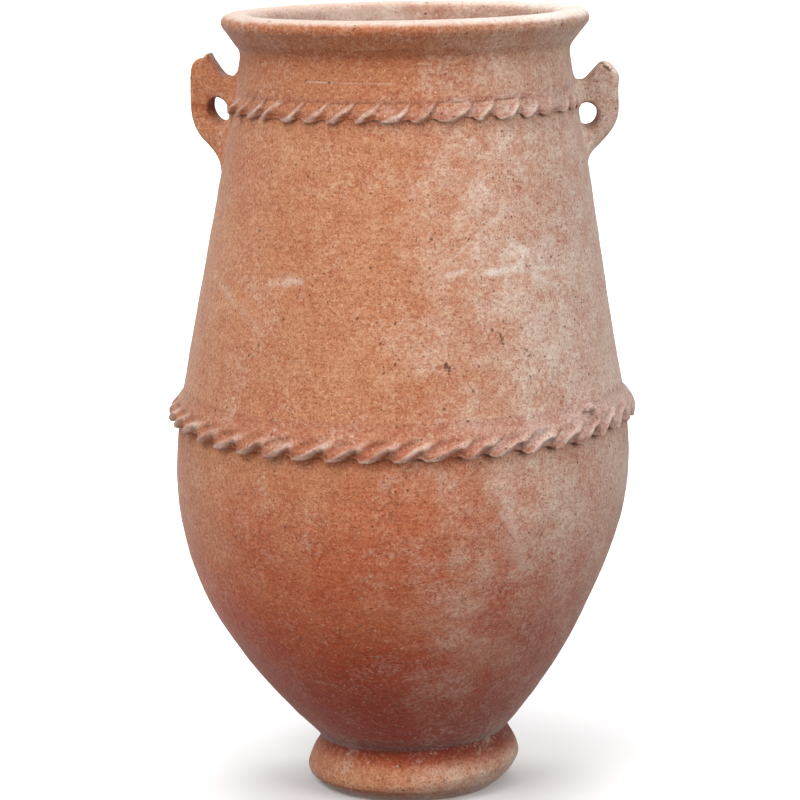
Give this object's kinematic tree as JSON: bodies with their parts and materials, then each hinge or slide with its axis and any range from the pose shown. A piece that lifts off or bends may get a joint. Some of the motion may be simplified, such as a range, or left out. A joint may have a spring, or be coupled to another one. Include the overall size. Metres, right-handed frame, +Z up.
{
  "type": "amphora",
  "caption": "Tall unglazed terracotta jar with a ring foot, swelling belly, tapering shoulder, rolled rim, two horned lug handles and pinched rope bands.",
  "frame": {"origin": "centre of the ring foot, on the ground", "axes": "+Z up along the jar's axis; +X towards the right-hand handle as the jar is seen from the front; -Y is the front; the handles' eyes run along Y"},
  "size_m": [0.5406, 0.5406, 0.9],
  "materials": {
    "wall_clay": "matt unglazed terracotta, weathered, pale bloom on the upper half and darker red-brown below",
    "foot_clay": "matt unglazed terracotta, dark and smooth",
    "rim_clay": "matt unglazed terracotta with a whitish bloom",
    "band_clay": "matt unglazed terracotta, hand pinched, pale crests",
    "handle_clay": "matt unglazed terracotta, hand smoothed"
  },
  "bodies": {
    "root": {"foot": "foot_clay", "floor_slab": "foot_clay", "belly": "wall_clay", "shoulder": "wall_clay", "neck": "wall_clay", "rim": "rim_clay", "lower_rope": "band_clay", "upper_rope_front": "band_clay", "upper_rope_back": "band_clay", "handle_left": "handle_clay", "handle_right": "handle_clay"}
  },
  "joints": []
}
